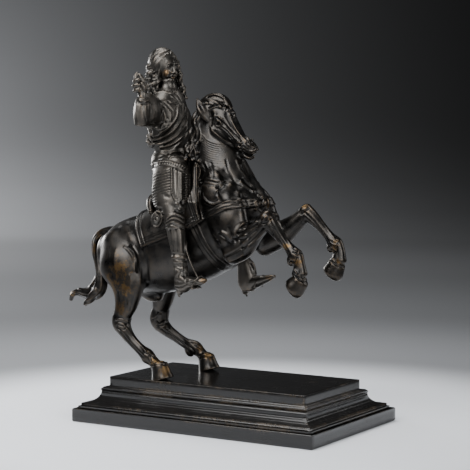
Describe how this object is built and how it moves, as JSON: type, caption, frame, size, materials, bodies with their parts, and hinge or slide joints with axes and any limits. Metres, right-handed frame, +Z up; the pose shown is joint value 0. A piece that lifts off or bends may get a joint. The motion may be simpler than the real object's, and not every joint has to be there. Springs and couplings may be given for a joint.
{
  "type": "equestrian statuette",
  "caption": "Bronze statuette of a rearing horse and its long-haired rider in half armour, on a moulded rectangular plinth of ebonised wood.",
  "frame": {"origin": "middle of the plinth's underside", "axes": "+Z up, +X towards the horse's head, +Y to the horse's left"},
  "size_m": [0.3396, 0.18, 0.3863],
  "materials": {
    "ebonised_wood": "black stained and polished wood, rubbed brown at the edges",
    "dark_bronze": "near-black polished patina, worn golden brown on the raised forms",
    "brown_bronze": "grey-brown chased patina, worn lighter on the raised forms"
  },
  "bodies": {
    "root": {"plinth": "ebonised_wood", "horse": "dark_bronze", "rider": "brown_bronze"}
  },
  "joints": []
}
